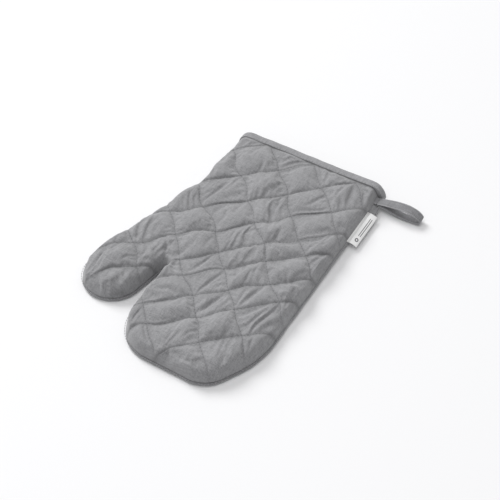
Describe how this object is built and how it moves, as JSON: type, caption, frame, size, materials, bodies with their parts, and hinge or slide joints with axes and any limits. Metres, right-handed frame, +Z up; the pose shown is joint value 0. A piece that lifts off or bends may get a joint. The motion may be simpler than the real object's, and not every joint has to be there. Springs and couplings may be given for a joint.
{
  "type": "oven mitt",
  "caption": "Quilted cotton oven mitt lying flat, with a separate thumb, a bound cuff, a tape hanging loop and a small side label.",
  "frame": {"origin": "on the resting plane under the palm side, half way along the mitt, on the centre line of the cuff", "axes": "+Y from the finger tips to the cuff, +Z up out of the back of the hand, +X to the side with the hanging loop"},
  "size_m": [0.245, 0.281, 0.0245],
  "materials": {
    "outer_cotton": "matte plain-weave cotton, grey",
    "wadding": "matte fibre wadding",
    "lining_cotton": "matte plain-weave cotton, grey",
    "binding_cotton": "matte folded cotton binding, grey",
    "loop_tape": "matte folded cotton tape, grey",
    "thread": "spun sewing thread, grey",
    "label_satin": "smooth white satin ribbon"
  },
  "bodies": {
    "mitt": {"outer_shell_top": "outer_cotton", "wadding_top": "wadding", "lining_top": "lining_cotton", "outer_shell_bottom": "outer_cotton", "wadding_bottom": "wadding", "lining_bottom": "lining_cotton", "quilting_thread_top": "thread", "quilting_thread_bottom": "thread", "seam_thread": "thread", "cuff_binding": "binding_cotton", "binding_thread": "thread", "hanging_loop_tail": "loop_tape", "side_label_tail": "label_satin"},
    "loop": {"hanging_loop": "loop_tape", "loop_edge_thread": "thread"},
    "label": {"side_label": "label_satin"}
  },
  "joints": [
    {"name": "loop_swing", "type": "hinge", "parent": "mitt", "child": "loop", "pos_m": [0.0791, 0.12735, 0.0078], "axis": [0, -1, 0], "range_deg": [-90, 90]},
    {"name": "label_flap", "type": "hinge", "parent": "mitt", "child": "label", "pos_m": [0.0786, 0.0891, 0.0073], "axis": [0, -1, 0], "range_deg": [-85, 85]}
  ]
}
